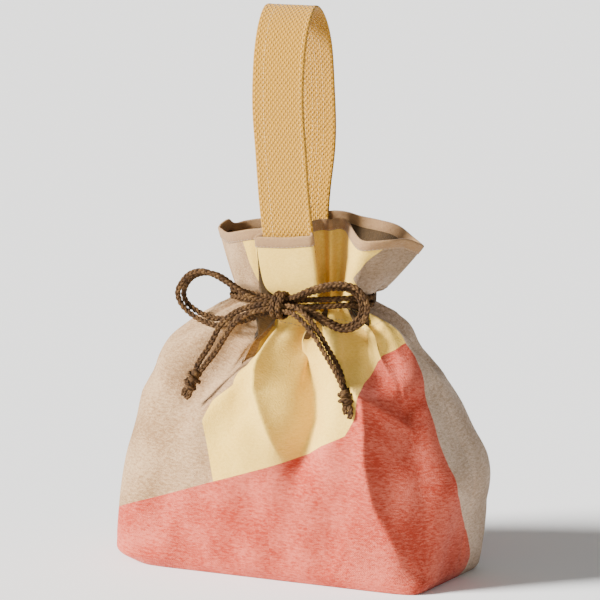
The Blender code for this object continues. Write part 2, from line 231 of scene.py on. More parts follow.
# the routes of the cords' middle lines: a first centimetre hidden in the casing's pleat, then through
# the knot, round the loop, back through the knot and down to the stop knot
cordRoutes = {
    ("right", "front"): [
        (0.044, -0.005, 0.1955), (0.0555, -0.012, 0.1955), (0.0545, -0.0235, 0.1955),
        (0.048, -0.032, 0.1965), (0.035, -0.0365, 0.1955), (0.0225, -0.038, 0.1945), (0.01, -0.038, 0.193),
        (0.001, -0.041, 0.192), (-0.0075, -0.0455, 0.1925), (-0.017, -0.0465, 0.1935),
        (-0.026, -0.047, 0.197), (-0.036, -0.047, 0.202), (-0.047, -0.0465, 0.207),
        (-0.0575, -0.046, 0.2095), (-0.0675, -0.045, 0.207), (-0.0745, -0.044, 0.201),
        (-0.079, -0.043, 0.193), (-0.077, -0.042, 0.185), (-0.0705, -0.041, 0.1785),
        (-0.061, -0.041, 0.174), (-0.0495, -0.042, 0.172), (-0.0365, -0.0435, 0.1745),
        (-0.023, -0.045, 0.1785), (-0.012, -0.046, 0.183), (0.0, -0.0485, 0.186), (0.011, -0.0515, 0.187),
        (0.019, -0.054, 0.185), (0.0265, -0.055, 0.1795), (0.034, -0.056, 0.172), (0.0405, -0.057, 0.1635),
        (0.047, -0.0585, 0.1555), (0.053, -0.06, 0.1475), (0.0578, -0.0611, 0.139),
    ],
    ("right", "back"): [
        (0.044, -0.005, 0.1905), (0.0555, -0.012, 0.1905), (0.0545, -0.0235, 0.1905),
        (0.0475, -0.031, 0.1915), (0.0345, -0.0355, 0.1905), (0.022, -0.0375, 0.1895),
        (0.01, -0.038, 0.1885), (0.0005, -0.04, 0.1885), (-0.01, -0.041, 0.19), (-0.0185, -0.042, 0.1925),
        (-0.027, -0.0425, 0.196), (-0.036, -0.0425, 0.201), (-0.047, -0.042, 0.2065),
        (-0.058, -0.041, 0.2075), (-0.067, -0.04, 0.205), (-0.0735, -0.039, 0.1995),
        (-0.077, -0.038, 0.192), (-0.075, -0.0375, 0.1855), (-0.0685, -0.037, 0.1805),
        (-0.06, -0.037, 0.177), (-0.0495, -0.038, 0.176), (-0.0375, -0.039, 0.1775),
        (-0.025, -0.0405, 0.1815), (-0.014, -0.042, 0.186), (-0.0005, -0.046, 0.189),
        (0.0115, -0.05, 0.191), (0.0215, -0.052, 0.1885), (0.0285, -0.0525, 0.1825),
        (0.0355, -0.0525, 0.174), (0.0415, -0.0525, 0.165), (0.0475, -0.053, 0.1565),
        (0.053, -0.0545, 0.148), (0.0573, -0.057, 0.1382),
    ],
    ("left", "front"): [
        (-0.038, -0.008, 0.195), (-0.049, -0.015, 0.195), (-0.045, -0.027, 0.195),
        (-0.0345, -0.0325, 0.1955), (-0.02, -0.037, 0.1945), (-0.008, -0.039, 0.1935),
        (0.0045, -0.0435, 0.1945), (0.0145, -0.0465, 0.1975), (0.025, -0.0465, 0.2025),
        (0.037, -0.046, 0.2065), (0.0485, -0.045, 0.208), (0.0575, -0.043, 0.206), (0.063, -0.041, 0.2),
        (0.065, -0.0395, 0.1925), (0.0625, -0.0395, 0.184), (0.0555, -0.041, 0.178),
        (0.047, -0.043, 0.1765), (0.0375, -0.045, 0.18), (0.027, -0.046, 0.185), (0.0175, -0.0465, 0.1885),
        (0.009, -0.0475, 0.189), (-0.0005, -0.0485, 0.188), (-0.0095, -0.0505, 0.187),
        (-0.019, -0.0515, 0.184), (-0.027, -0.052, 0.179), (-0.0335, -0.0525, 0.172),
        (-0.0385, -0.054, 0.1635), (-0.0435, -0.056, 0.155), (-0.049, -0.058, 0.1475),
        (-0.053, -0.0593, 0.1418),
    ],
    ("left", "back"): [
        (-0.038, -0.008, 0.1905), (-0.049, -0.015, 0.1905), (-0.045, -0.027, 0.1905),
        (-0.034, -0.032, 0.191), (-0.02, -0.0365, 0.1902), (-0.008, -0.0385, 0.189),
        (0.0025, -0.041, 0.191), (0.0125, -0.042, 0.195), (0.023, -0.0422, 0.1998), (0.034, -0.0415, 0.203),
        (0.045, -0.0405, 0.2045), (0.053, -0.0385, 0.2025), (0.0575, -0.0365, 0.1975),
        (0.0585, -0.035, 0.191), (0.0565, -0.035, 0.184), (0.051, -0.0365, 0.179), (0.044, -0.0385, 0.178),
        (0.036, -0.041, 0.1815), (0.0265, -0.042, 0.186), (0.017, -0.0425, 0.1895),
        (0.0075, -0.0435, 0.1905), (-0.0015, -0.047, 0.1915), (-0.0095, -0.05, 0.191),
        (-0.0185, -0.051, 0.1885), (-0.0275, -0.0515, 0.185), (-0.035, -0.052, 0.18),
        (-0.0415, -0.052, 0.1735), (-0.0455, -0.053, 0.1655), (-0.049, -0.055, 0.158),
        (-0.053, -0.0573, 0.151), (-0.0568, -0.0588, 0.1434),
    ],
}

bowKnot = {
    "centre": (0.0005, -0.0443, 0.1900),
    "halfDepth": 0.0086,
    "halfHeight": 0.0084,
    "wraps": (-0.0022, 0.0020),    # where along x each turn of cord goes round the bundle
    "lean": 0.16,
}

# top and foot of each stop knot, and how far its two cut ends reach past the foot
stopKnots = {
    "stop_knot_left": {"top": (-0.055, -0.059, 0.1432), "foot": (-0.0612, -0.061, 0.129),
                       "ends": ((-0.002, -0.0008, -0.0062), (-0.0042, 0.001, -0.005))},
    "stop_knot_right": {"top": (0.0574, -0.0592, 0.1392), "foot": (0.061, -0.0612, 0.1288),
                        "ends": ((0.002, -0.001, -0.0092), (-0.0014, 0.001, -0.0066))},
}


# Dull brown cotton yarn: streaks that run with the fibres over larger patches, dark to light.
def cordMaterial():
    made, tree, shader = newMaterial("plaited cotton cord", 0.80, 0.0)
    shader.inputs["Specular IOR Level"].default_value = 0.15
    uv = addNode(tree, "UVMap", uv_map="UVMap").outputs["UV"]
    turned = addNode(tree, "Mapping", {"Vector": uv, "Rotation": (0, 0, 0.5),
                                       "Scale": (2600.0, 420.0, 1.0)}).outputs["Vector"]
    fibres = addNode(tree, "TexNoise", {"Vector": turned, "Scale": 1.0, "Detail": 3.0})
    place = addNode(tree, "TexCoord").outputs["Object"]
    patches = addNode(tree, "TexNoise", {"Vector": place, "Scale": 260.0, "Detail": 2.0})
    tone = addNode(tree, "Math", {0: fibres.outputs["Fac"], 1: patches.outputs["Fac"]},
                   operation="ADD").outputs["Value"]
    share = addNode(tree, "MapRange", {"Value": tone, "From Min": 0.60, "From Max": 1.40})
    ramp = addNode(tree, "ValToRGB", {"Fac": share.outputs["Result"]})
    ramp.color_ramp.elements[0].color = toLinear(cord["dark"])
    ramp.color_ramp.elements[1].color = toLinear(cord["light"])
    ramp.color_ramp.elements.new(0.5).color = toLinear(cord["middle"])
    tree.links.new(ramp.outputs["Color"], shader.inputs["Base Color"])
    bump = addNode(tree, "Bump", {"Height": fibres.outputs["Fac"], "Strength": 0.6, "Distance": 0.0003})
    tree.links.new(bump.outputs["Normal"], shader.inputs["Normal"])
    return made


# Three yarns about a middle line: aside = A sin(t), out = B sin(2t), each a third of a turn on.
def plait(shape, path, outward):
    out, aside = travellingFrame(path, outward)
    along = lengthAlong(path)
    for yarn in range(3):
        t = (2 * math.pi * (along / cord["pitch"] + yarn / 3))[:, None]
        middle = path + aside * cord["halfWidth"] * np.sin(t) + out * cord["halfThickness"] * np.sin(2 * t)
        shape.add(*tube(middle, out, cord["yarnRadius"], 8, cord["yarnThickness"]))


# A closed turn round the bundle in the y-z plane, leaning along x as it rises.
def ellipseLoop(centre, halfDepth, halfHeight, lean):
    angle = np.linspace(0.0, 2 * math.pi * 1.04, 90)
    y = halfDepth * np.cos(angle)
    z = halfHeight * np.sin(angle)
    return np.array(centre) + np.stack([lean * z + 0.0004 * angle, y, z], axis=1)


def buildBowKnot(material):
    shape = Shape()
    for shift in bowKnot["wraps"]:
        centre = np.array(bowKnot["centre"]) + (shift, 0.0, 0.0)
        turn = ellipseLoop(centre, bowKnot["halfDepth"], bowKnot["halfHeight"], bowKnot["lean"])
        plait(shape, evenLine(turn, cord["step"]), (0.0, 1.0, 0.0))
    return shape.finish("bow_knot_wraps", material, ["bow_knot"])


# A coil of cord about a solid core, swelling as sqrt(sin), with both cut ends below it.
def buildStopKnot(name, material):
    top, foot = np.array(stopKnots[name]["top"]), np.array(stopKnots[name]["foot"])
    down = unit(foot - top)
    side = unit(np.cross(down, (0.0, 1.0, 0.0)))
    front = np.cross(side, down)
    turns = np.linspace(0.0, 1.0, 160)[:, None]
    angle = 2 * math.pi * cord["knotTurns"] * turns
    swell = 0.0024 + 0.0016 * np.sin(math.pi * turns) ** 0.5
    coil = top + (foot - top) * (0.12 + 0.76 * turns) + swell * (side * np.cos(angle) + front * np.sin(angle))
    shape = Shape()
    plait(shape, evenLine(coil, cord["step"]), side)
    core = evenLine(np.array([top, foot]), cord["step"])
    shape.add(*tube(core, np.broadcast_to(front, core.shape), cord["knotCore"], 12))
    for end, aside in zip(stopKnots[name]["ends"], (0.0013, -0.0013)):
        stub = [foot + side * aside - down * 0.003, foot + side * aside * 1.3 + np.array(end) * 0.45,
                foot + np.array(end)]
        plait(shape, smoothLine(stub, cord["step"]), front)
    return shape.finish(name + "_turns", material, [name])


def buildCords():
    material = cordMaterial()
    bow = buildBowKnot(material)
    knots = {name: buildStopKnot(name, material) for name in stopKnots}
    for (side, layer), route in cordRoutes.items():
        path = smoothLine(route, cord["step"])
        shape = Shape()
        plait(shape, path, (0.0, -1.0, 0.2))
        nodes = [f"{side}_cord_{layer}_{part}" for part in ("standing", "loop", "tail")]
        piece = shape.finish(f"{side}_drawcord_{layer}", material, nodes)
        # the knots that ride on the cord in front, listed but not used further
        onIt = [knots["stop_knot_" + side]] if layer == "front" else []
        if (side, layer) == ("right", "front"):
            onIt.append(bow)
    print("cords laid")


buildCords()

# The pouch's cloth
pouch = {
    # height, half width left, half width right, half depth front, half depth back, squareness, middle y
    "levels": [
        (0.0, 0.1075, 0.1075, 0.052, 0.052, 14.0, 0.0),
        (0.006, 0.129, 0.1135, 0.055, 0.054, 8.0, 0.0),
        (0.015, 0.1345, 0.118, 0.057, 0.0555, 5.6, 0.0),
        (0.03, 0.135, 0.1215, 0.059, 0.0575, 4.6, 0.0),
        (0.05, 0.1345, 0.1245, 0.0605, 0.0585, 3.9, 0.0),
        (0.075, 0.131, 0.1265, 0.062, 0.06, 3.4, 0.0),
        (0.1, 0.1245, 0.1188, 0.061, 0.0595, 3.0, -0.001),
        (0.125, 0.1175, 0.1075, 0.057, 0.056, 2.7, -0.002),
        (0.145, 0.109, 0.0972, 0.051, 0.05, 2.5, -0.003),
        (0.162, 0.096, 0.086, 0.043, 0.042, 2.3, -0.005),
        (0.176, 0.074, 0.0765, 0.035, 0.034, 2.2, -0.007),
        (0.19, 0.05, 0.053, 0.0265, 0.0265, 2.0, -0.008),
    ],
    "neckHeight": 0.190,
    "gatherFrom": 0.100,      # below this height the neck's pleats have died away
    "gatherPower": 2.0,
    "columns": 440,
    "rowHeight": 0.00122,
    "frillRows": 46,
    "baseRows": 10,
    "girth": 0.60,            # round the cloth, for its pattern
    "liningGap": 0.0010,      # cloth's middle to the lining
    "liningLift": 0.0012,     # the same at the base
    "taupe": ("#B4926B", "#8A6843"),     # light and dark of each field's mottling
    "side": ("#C9AF97", "#987D63"),
    # the side field's colours above the neck, darkened as painted shade on the frill
    "sideFrillPaintedShade": ("#957C61", "#70583E"),
    "yellow": ("#EAC35C", "#D8AC45"),
    "coral": ("#C45F49", "#9E3019"),
    "lining": ("#4D381C", "#372711"),
    "hem": ("#9C7A51", "#886543"),
    # each field's mottling: how far its streaks stretch, their turn and how even it is
    "mottling": {"taupe": (2.2, 0.40, 0.13), "yellow": (1.6, -0.6, 0.18), "coral": (2.6, 0.25, 0.12),
                 "side": (2.2, -0.5, 0.14), "sideFrillPaintedShade": (2.2, -0.5, 0.14)},
}

# where each pleat of the mouth stands: at the drawn neck (x, y) and at the edge (x, y, z)
pleats = [
    ((0.002, -0.0345), (0.004, -0.043, 0.236)), ((0.015, -0.034), (0.015, -0.0425, 0.2375)),
    ((0.0255, -0.0325), (0.0242, -0.041, 0.239)), ((0.0225, -0.028), (0.019, -0.033, 0.2425)),
    ((0.0205, -0.022), (0.015, -0.0225, 0.2455)), ((0.0235, -0.017), (0.017, -0.013, 0.246)),
    ((0.029, -0.024), (0.025, -0.0165, 0.2465)), ((0.031, -0.018), (0.028, -0.009, 0.247)),
    ((0.034, -0.019), (0.0355, -0.0115, 0.246)), ((0.0395, -0.026), (0.0462, -0.024, 0.2418)),
    ((0.044, -0.0275), (0.0557, -0.034, 0.238)), ((0.0475, -0.024), (0.062, -0.037, 0.2368)),
    ((0.046, -0.0195), (0.0697, -0.036, 0.2372)), ((0.0505, -0.017), (0.0793, -0.03, 0.238)),
    ((0.053, -0.0125), (0.0848, -0.02, 0.2375)), ((0.05, -0.009), (0.0897, -0.009, 0.233)),
    ((0.0555, -0.006), (0.089, -0.0015, 0.231)), ((0.049, -0.001), (0.077, 0.008, 0.2345)),
    ((0.048, 0.006), (0.0595, 0.02, 0.24)), ((0.0385, 0.008), (0.042, 0.0265, 0.2418)),
    ((0.033, 0.0155), (0.0282, 0.024, 0.2442)), ((0.0245, 0.014), (0.0211, 0.017, 0.2475)),
    ((0.017, 0.0185), (0.0142, 0.013, 0.2485)), ((0.008, 0.015), (0.0075, 0.011, 0.2478)),
    ((-0.008, 0.0165), (-0.008, 0.0105, 0.246)), ((-0.02, 0.014), (-0.024, 0.0115, 0.243)),
    ((-0.028, 0.0175), (-0.031, 0.017, 0.241)), ((-0.036, 0.011), (-0.0425, 0.012, 0.2395)),
    ((-0.0455, 0.007), (-0.052, 0.006, 0.238)), ((-0.0455, 0.0), (-0.057, -0.001, 0.2368)),
    ((-0.051, -0.004), (-0.0603, -0.005, 0.2398)), ((-0.049, -0.011), (-0.0627, -0.014, 0.2361)),
    ((-0.0455, -0.015), (-0.057, -0.02, 0.2345)), ((-0.043, -0.0215), (-0.0495, -0.026, 0.2338)),
    ((-0.034, -0.024), (-0.0401, -0.032, 0.2358)), ((-0.026, -0.0295), (-0.0284, -0.035, 0.2385)),
    ((-0.0165, -0.0285), (-0.017, -0.036, 0.24)), ((-0.014, -0.0312), (-0.015, -0.0385, 0.2385)),
    ((-0.019, -0.0342), (-0.02, -0.0412, 0.2352)), ((-0.008, -0.0347), (-0.0075, -0.0428, 0.2354)),
]
# the pleats at the right side, the middle of the back and the left side
sideRight = 16
backMiddle = 24
sideLeft = 31

# Folds of the filled body, each down a line (across, height) on one side of the pouch: its rise at
# the top and the foot, negative for a valley, its half width at both, the share of that width on the
# line's far side, and the power of its bell, low for a crisp fold
folds = [
    ("front", [(-0.012, 0.178), (-0.018, 0.17), (-0.0245, 0.1625), (-0.04, 0.149),
               (-0.056, 0.1345), (-0.075, 0.117), (-0.0965, 0.1)],
     -0.019, -0.0085, 0.013, 0.02, 0.8, 2.0),
    ("front", [(-0.048, 0.17), (-0.065, 0.158), (-0.085, 0.143), (-0.102, 0.127)],
     0.005, 0.004, 0.0085, 0.013, 1.0, 1.6),
    ("front", [(-0.015, 0.148), (-0.027, 0.137), (-0.04, 0.122), (-0.056, 0.107), (-0.075, 0.092)],
     0.0055, 0.004, 0.008, 0.012, 1.0, 1.8),
    ("front", [(-0.018, 0.17), (-0.023, 0.158), (-0.028, 0.142)],
     -0.008, -0.002, 0.005, 0.0065, 1.0, 1.5),
    ("front", [(-0.005, 0.182), (-0.007, 0.165), (-0.008, 0.15), (-0.0085, 0.132), (0.0, 0.1125),
               (0.0094, 0.088), (0.015, 0.07)],
     0.0105, 0.007, 0.0065, 0.0085, 0.8, 1.15),
    ("front", [(0.012, 0.178), (0.022, 0.16), (0.028, 0.1375), (0.028, 0.117), (0.0215, 0.094),
               (0.019, 0.078), (0.021, 0.055)],
     -0.0195, -0.017, 0.015, 0.012, 0.85, 1.6),
    ("front", [(0.02, 0.178), (0.02, 0.166), (0.024, 0.152)],
     -0.004, -0.001, 0.0026, 0.0035, 1.0, 1.3),
    ("front", [(0.03, 0.18), (0.0374, 0.17), (0.044, 0.153), (0.056, 0.14), (0.0685, 0.128),
               (0.0715, 0.112), (0.074, 0.09), (0.0813, 0.06), (0.0963, 0.027), (0.1087, 0.003)],
     0.0125, 0.005, 0.012, 0.011, 0.55, 1.2),
    ("front", [(0.048, 0.18), (0.059, 0.163), (0.073, 0.148), (0.09, 0.136)],
     -0.0125, -0.006, 0.008, 0.011, 1.3, 1.6),
    ("front", [(0.066, 0.132), (0.08, 0.124), (0.095, 0.117), (0.111, 0.103)],
     0.006, 0.004, 0.006, 0.009, 1.0, 1.4),
    ("front", [(0.096, 0.122), (0.103, 0.105), (0.109, 0.08), (0.113, 0.055), (0.117, 0.025),
               (0.12, -0.02)],
     -0.009, -0.0065, 0.017, 0.018, 0.8, 1.8),
    ("front", [(-0.09, 0.085), (-0.082, 0.055), (-0.08, 0.01)],
     -0.003, -0.002, 0.014, 0.018, 1.2, 1.8),
    ("front", [(0.033, 0.075), (0.048, 0.045), (0.056, 0.005)],
     -0.0022, -0.0018, 0.011, 0.014, 1.0, 1.8),
    ("right", [(-0.007, 0.192), (-0.007, 0.179), (0.0, 0.166), (0.01, 0.154), (0.018, 0.138)],
     -0.016, -0.008, 0.0055, 0.008, 1.2, 1.4),
    ("right", [(-0.0165, 0.186), (-0.0175, 0.172), (-0.014, 0.16), (-0.005, 0.151)],
     0.003, 0.002, 0.004, 0.006, 1.0, 1.4),
    ("right", [(0.01, 0.188), (0.012, 0.165), (0.02, 0.14)], 0.003, 0.001, 0.006, 0.01, 1.0, 1.5),
    ("left", [(-0.004, 0.19), (-0.005, 0.172), (0.0, 0.15)], -0.006, -0.002, 0.0045, 0.008, 1.2, 1.4),
    ("left", [(0.012, 0.188), (0.018, 0.165), (0.026, 0.138)], 0.003, 0.001, 0.006, 0.009, 1.0, 1.5),
    ("back", [(0.004, 0.182), (0.004, 0.16), (0.01, 0.12)], -0.007, -0.0024, 0.0042, 0.01, 1.3, 1.4),
    ("back", [(-0.018, 0.18), (-0.03, 0.16), (-0.05, 0.135), (-0.062, 0.105)],
     0.006, 0.0024, 0.0045, 0.01, 1.4, 1.3),
    ("back", [(-0.03, 0.182), (-0.048, 0.163), (-0.075, 0.14)],
     -0.0065, -0.0025, 0.0045, 0.011, 1.0, 1.5),
    ("back", [(0.022, 0.182), (0.036, 0.16), (0.06, 0.136), (0.078, 0.108)],
     0.0065, 0.0022, 0.0045, 0.01, 0.8, 1.3),
    ("back", [(0.034, 0.18), (0.056, 0.16), (0.085, 0.134)], -0.006, -0.0026, 0.0045, 0.011, 1.2, 1.5),
]
wrinkles = {
    "seed": 11,
    "count": 110,             # small random creases, more of them towards the neck
    "depth": (0.0003, 0.0009),
    "halfWidth": (0.0028, 0.0060),
    "length": (0.014, 0.050),
    "gather": 0.0008,
    "swell": 0.0008,          # slow rise and fall of the filled cloth
    "waves": 16,
    "waveLength": (0.030, 0.085),
    "seamDepth": 0.0007,
    "seamWidth": 0.0022,      # as a share of the way round
}
# where the print changes colour: height against share round from the front's middle
printEdges = {
    "yellowStart": [
        (0.0, -0.056), (0.067, -0.0613), (0.088, -0.0706), (0.109, -0.08), (0.123, -0.0731),
        (0.135, -0.048), (0.161, -0.055), (0.174, -0.04), (0.19, -0.09), (0.205, -0.123),
        (0.216, -0.14), (0.235, -0.1525), (0.26, -0.156)],
    "sideStart": [
        (0.0, 0.275), (0.015, 0.27), (0.037, 0.2519), (0.054, 0.2331), (0.066, 0.219),
        (0.085, 0.2119), (0.101, 0.211), (0.125, 0.2169), (0.141, 0.22), (0.156, 0.224),
        (0.166, 0.217), (0.186, 0.214), (0.196, 0.185), (0.21, 0.164), (0.222, 0.18),
        (0.232, 0.196), (0.26, 0.21)],
    # the coral field's top edge: height against share
    "coralTop": [
        (-0.5, 0.085), (-0.36, 0.042), (-0.27, 0.024), (-0.1969, 0.035), (-0.1188, 0.053),
        (-0.0606, 0.067), (0.015, 0.084), (0.04, 0.09), (0.0662, 0.099), (0.0975, 0.1075),
        (0.113, 0.12), (0.12, 0.132), (0.13, 0.142), (0.1631, 0.154), (0.215, 0.166),
        (0.26, 0.17), (0.32, 0.15), (0.5, 0.085)],
    "backYellow": (0.36, 0.55),
}


# The same curve through a closed row of knots, at index t.
def closedCurve(knots, t):
    k = np.floor(t).astype(int)
    f = (t - k)[:, None]
    return catmullRom(*(knots[(k + d) % len(knots)] for d in (-1, 0, 1, 2)), f)


# Columns of the cloth: index along the pleats and share of the way round, which is 0, 0.25, 0.5 and
# 0.75 at front, right, back and left, with even steps along the mouth's edge in each quarter.
def clothColumns(count):
    edge = np.array([p[1] for p in pleats])
    t = np.linspace(0.0, len(pleats), 4001)
    line = closedCurve(edge, t)
    length = lengthAlong(line)
    marks = np.interp([0, sideRight, backMiddle, sideLeft, len(pleats)], t, length)
    share = np.interp(length, marks, [0.0, 0.25, 0.5, 0.75, 1.0])
    even = np.arange(count) / count
    return np.interp(even, share, t), even


# Cubic Hermite curve through the rows of levels.
def levelAt(heights):
    rows = np.array(pouch["levels"])
    z, values = rows[:, 0], rows[:, 1:]
    slope = np.gradient(values, z, axis=0)
    i = np.clip(np.searchsorted(z, heights) - 1, 0, len(z) - 2)
    h = (z[i + 1] - z[i])[:, None]
    f = ((heights - z[i])[:, None]) / h
    return ((2 * f**3 - 3 * f**2 + 1) * values[i] + (f**3 - 2 * f**2 + f) * h * slope[i]
            + (3 * f**2 - 2 * f**3) * values[i + 1] + (f**3 - f**2) * h * slope[i + 1])


# |x/a|^n + |y/b|^n = 1, with a half width for each of left, right, front and back.
def outline(level, share):
    left, right, front, back, power, middle = level
    angle = np.linspace(-0.5 * math.pi, 1.5 * math.pi, 2881)
    c, s = np.cos(angle), np.sin(angle)
    x = np.where(c > 0, right, left) * np.sign(c) * np.abs(c) ** (2.0 / power)
    y = np.where(s > 0, back, front) * np.sign(s) * np.abs(s) ** (2.0 / power)
    length = np.concatenate([[0.0], np.cumsum(np.hypot(np.diff(x), np.diff(y)))])
    at = np.interp(share, [0.0, 0.25, 0.5, 0.75, 1.0], length[[0, 720, 1440, 2160, 2880]])
    return np.stack([np.interp(at, length, x), np.interp(at, length, y) + middle], axis=-1)


# Rounded oblong outlines that gather into the neck's pleats, then straight pleats to the edge.
def plainWall(shares, index, heights, rises):
    neck = closedCurve(np.array([p[0] for p in pleats]), index)
    edge = closedCurve(np.array([p[1] for p in pleats]), index)
    levels = levelAt(heights)
    change = neck - outline(levels[-1], shares)
    rows = []
    for z, level in zip(heights, levels):
        gather = np.clip((z - pouch["gatherFrom"]) / (pouch["neckHeight"] - pouch["gatherFrom"]), 0.0, 1.0)
        flat = outline(level, shares) + gather ** pouch["gatherPower"] * change
        rows.append(np.column_stack([flat, np.full(len(shares), z)]))
    start = rows[-1]
    return np.array(rows + [start + (edge - start) * v for v in rises[1:]])


# Normals of a grid that closes round its columns.
def outwardOf(grid):
    around = np.roll(grid, -1, axis=1) - np.roll(grid, 1, axis=1)
    return unit(np.cross(around, np.gradient(grid, axis=0)))


# Bell across a line of points: rise * exp(-(distance / width) ** power), fading at its foot.
def foldRise(across, height, line, riseTop, riseFoot, widthTop, widthFoot, farShare, power):
    best = np.full(across.shape, 1e9)
    side = np.zeros(across.shape)
    down = np.zeros(across.shape)
    line = np.array(line)
    pieces = np.linalg.norm(np.diff(line, axis=0), axis=1)
    total = pieces.sum()
    before = 0.0
    for a, b, size in zip(line[:-1], line[1:], pieces):
        d = (b - a) / size
        t = np.clip((across - a[0]) * d[0] + (height - a[1]) * d[1], 0.0, size)
        x, y = across - a[0] - d[0] * t, height - a[1] - d[1] * t
        distance = np.hypot(x, y)
        near = distance < best
        best = np.where(near, distance, best)
        side = np.where(near, d[0] * y - d[1] * x, side)
        down = np.where(near, (before + t) / total, down)
        before += size
    width = widthTop + (widthFoot - widthTop) * down
    width = width * np.where(side > 0, farShare, 1.0)
    fade = smoothStep(0.0, 0.35, 1.0 - down)
    return (riseTop + (riseFoot - riseTop) * down) * fade * np.exp(-((best / width) ** power))


# The plain wall pushed out and in along its normals by folds, small creases and slow swelling.
def foldedWall(shares, index, heights, rises):
    grid = plainWall(shares, index, heights, rises)
    normal = outwardOf(grid)
    share = np.broadcast_to(shares, grid.shape[:2])
    x, y, z = grid[..., 0], grid[..., 1], grid[..., 2]
    facing = {"front": smoothStep(0.27, 0.22, np.minimum(share, 1 - share)),
              "back": smoothStep(0.27, 0.22, np.abs(share - 0.5)),
              "right": smoothStep(0.13, 0.07, np.abs(share - 0.25)),
              "left": smoothStep(0.13, 0.07, np.abs(share - 0.75))}
    across = {"front": x, "back": x, "right": y, "left": y}
    push = np.zeros(grid.shape[:2])
    for face, line, *shape in folds:
        push += facing[face] * foldRise(across[face], z, line, *shape)
    random = np.random.default_rng(wrinkles["seed"])
    for _ in range(wrinkles["count"]):
        face = random.choice(["front"] * 3 + ["back"] * 3 + ["right", "left"])
        reach = 0.115 if face in ("front", "back") else 0.050
        start = np.array([random.uniform(-reach, reach), 0.183 - 0.165 * random.random() ** 1.6])
        lean = math.atan2(start[1] - 0.215, start[0]) + random.normal(0.0, 0.55)
        size = random.uniform(*wrinkles["length"])
        end = start + size * np.array([math.cos(lean), math.sin(lean)])
        middle = (start + end) / 2 + random.normal(0.0, 0.10, 2) * size
        depth = random.uniform(*wrinkles["depth"]) * random.choice([-1.0, 1.0])
        width = random.uniform(*wrinkles["halfWidth"])
        push += facing[face] * foldRise(across[face], z, [start, middle, end], depth, depth * 0.5, width,
                                        width * 1.6, random.uniform(0.6, 1.8), 1.5)
    # fine gathers just under the drawn neck
    turns = 2 * math.pi * share
    gathers = (np.sin(31 * turns + 1.6 * np.sin(5 * turns + 0.4))
               + 0.7 * np.sin(47 * turns + 2.0 * np.sin(3 * turns)))
    push += wrinkles["gather"] * gathers * smoothStep(0.150, 0.186, z) * smoothStep(0.200, 0.188, z)
    for _ in range(wrinkles["waves"]):
        wave = random.normal(0.0, 1.0, 3)
        wave = wave / np.linalg.norm(wave) * 2 * math.pi / random.uniform(*wrinkles["waveLength"])
        push += wrinkles["swell"] / 3 * np.sin(grid @ wave + random.uniform(0, 2 * math.pi))
    push *= smoothStep(-0.001, 0.012, z) * (1.0 - 0.55 * smoothStep(0.186, 0.200, z))
    for seam in (0.25, 0.75):
        groove = np.exp(-((share - seam) / wrinkles["seamWidth"]) ** 2)
        push -= wrinkles["seamDepth"] * groove * smoothStep(0.0, 0.02, z)
    return grid + normal * push[..., None]


# Adds the flat base: the lowest row drawn in towards the middle.
def withBase(grid):
    foot = grid[0].copy()
    foot[:, 2] = max(float(foot[:, 2].min()), 0.0002)
    share = np.linspace(0.002, 1.0, pouch["baseRows"])[:, None, None]
    middle = foot.mean(axis=0)
    return np.concatenate([middle + (foot - middle) * share, grid[1:]])


# Across and up the cloth in metres: share times girth, and mean length up the columns.
def clothUv(grid, shares):
    rise = np.concatenate([[0.0], np.cumsum(np.linalg.norm(np.diff(grid, axis=0), axis=2).mean(axis=1))])
    return np.stack(np.meshgrid(np.concatenate([shares, [1.0]]) * pouch["girth"], rise), axis=-1)


# Bump of plain-woven cotton: a fine diagonal weave over soft crumples.
def cottonSurface(tree, shader, uv, strength):
    weave = addNode(tree, "Mapping", {"Vector": uv, "Rotation": (0, 0, 0.785),
                                      "Scale": (1000.0, 1000.0, 1.0)}).outputs["Vector"]
    bands = addNode(tree, "TexWave", {"Vector": weave, "Scale": 0.34, "Distortion": 1.2,
                                      "Detail": 1.0, "Detail Scale": 1.5})
    grain = addNode(tree, "TexNoise", {"Vector": uv, "Scale": 900.0, "Detail": 2.0})
    crumple = addNode(tree, "TexNoise", {"Vector": uv, "Scale": 95.0, "Detail": 3.0, "Roughness": 0.55})
    relief = None
    for pattern, force, depth in ((bands, strength, 0.00018), (grain, strength, 0.0011),
                                  (crumple, 0.35, 0.0016)):
        below = {"Normal": relief} if relief else {}
        relief = addNode(tree, "Bump", {"Height": pattern.outputs["Fac"], "Strength": force,
                                        "Distance": depth, **below}).outputs["Normal"]
    tree.links.new(relief, shader.inputs["Normal"])


# A field of dye that took unevenly: streaked fibres over cloudy patches, light to dark.
def mottled(tree, uv, colours, stretch, turn, contrast):
    along = addNode(tree, "Mapping", {"Vector": uv, "Rotation": (0, 0, turn),
                                      "Scale": (620.0 / stretch, 620.0, 1.0)}).outputs["Vector"]
    streaks = addNode(tree, "TexNoise", {"Vector": along, "Scale": 1.0, "Detail": 4.0, "Roughness": 0.8})
    clouds = addNode(tree, "TexNoise", {"Vector": uv, "Scale": 34.0, "Detail": 4.0, "Distortion": 0.2})
    both = addNode(tree, "Math", {0: clouds.outputs["Fac"], 1: 0.5, 2: streaks.outputs["Fac"]},
                   operation="MULTIPLY_ADD").outputs["Value"]
    share = addNode(tree, "MapRange", {"Value": both, "From Min": 0.75 - contrast,
                                       "From Max": 0.75 + contrast}).outputs["Result"]
    return addNode(tree, "Mix", {"Factor": share, "A": toLinear(colours[0]),
                                 "B": toLinear(colours[1])}, data_type="RGBA").outputs["Result"]


